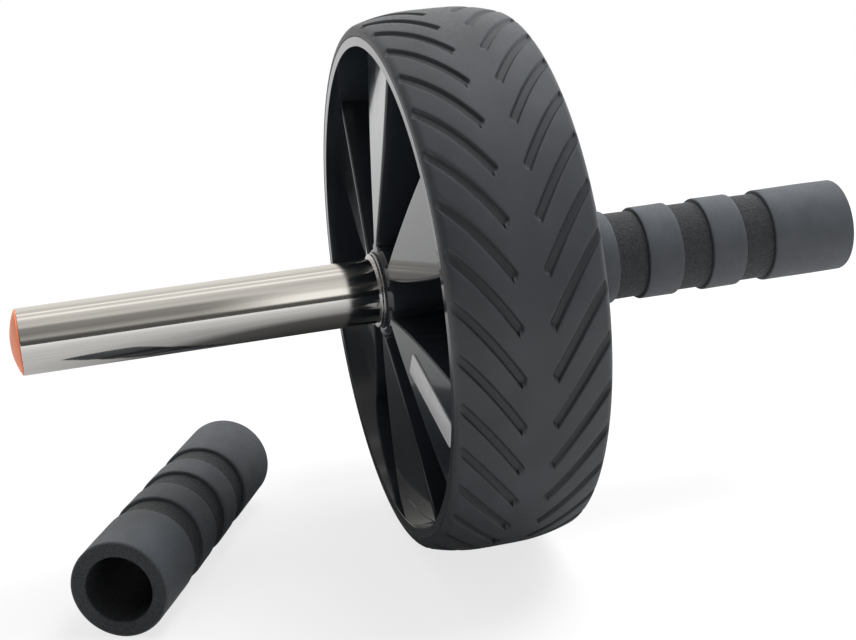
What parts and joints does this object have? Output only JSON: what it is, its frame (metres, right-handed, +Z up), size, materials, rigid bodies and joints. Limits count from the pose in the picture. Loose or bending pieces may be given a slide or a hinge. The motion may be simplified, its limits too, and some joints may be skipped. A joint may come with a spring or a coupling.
{
  "type": "ab wheel roller",
  "caption": "Ab wheel roller with a slotted rubber tyre on a spoked core, spinning on a steel tube with push-on foam grips, one of them lying off.",
  "frame": {"origin": "on the floor where the wheel stands, under the middle of the axle", "axes": "+Y along the axle towards the fitted grip, +Z up, the axle at the tyre's radius above the floor"},
  "size_m": [0.208, 0.3358, 0.208],
  "materials": {
    "polished_steel": "polished",
    "plain_steel": "plain",
    "orange_plastic": "smooth",
    "bush_plastic": "smooth",
    "gloss_black": "glossy",
    "tread_rubber": "matte",
    "pale_plate": "satin",
    "foam": "matte closed-cell foam"
  },
  "bodies": {
    "axle": {"axle_tube": "polished_steel", "left_end_plug": "orange_plastic", "right_end_plug": "orange_plastic", "left_retaining_ring": "plain_steel", "right_retaining_ring": "plain_steel", "left_thrust_washer": "plain_steel", "right_thrust_washer": "plain_steel"},
    "wheel": {"rim_barrel": "gloss_black", "left_spoke_star": "gloss_black", "right_spoke_star": "gloss_black", "left_hub_bush": "bush_plastic", "right_hub_bush": "bush_plastic", "wheel_screws": "plain_steel", "spoke_plate": "pale_plate", "tyre": "tread_rubber"},
    "fitted_grip": {"right_grip": "foam"},
    "loose_grip": {"left_grip": "foam"}
  },
  "joints": [
    {"name": "wheel_spin", "type": "hinge", "parent": "axle", "child": "wheel", "pos_m": [0, 0, 0.104], "axis": [0, 1, 0], "continuous": true},
    {"name": "right_grip_slide", "type": "slide", "parent": "axle", "child": "fitted_grip", "axis": [0, 1, 0], "range_m": [0, 0.14]},
    {"name": "left_grip_lift", "type": "slide", "parent": "axle", "child": "loose_grip", "axis": [0, 0, 1], "range_m": [0, 0.05]}
  ]
}
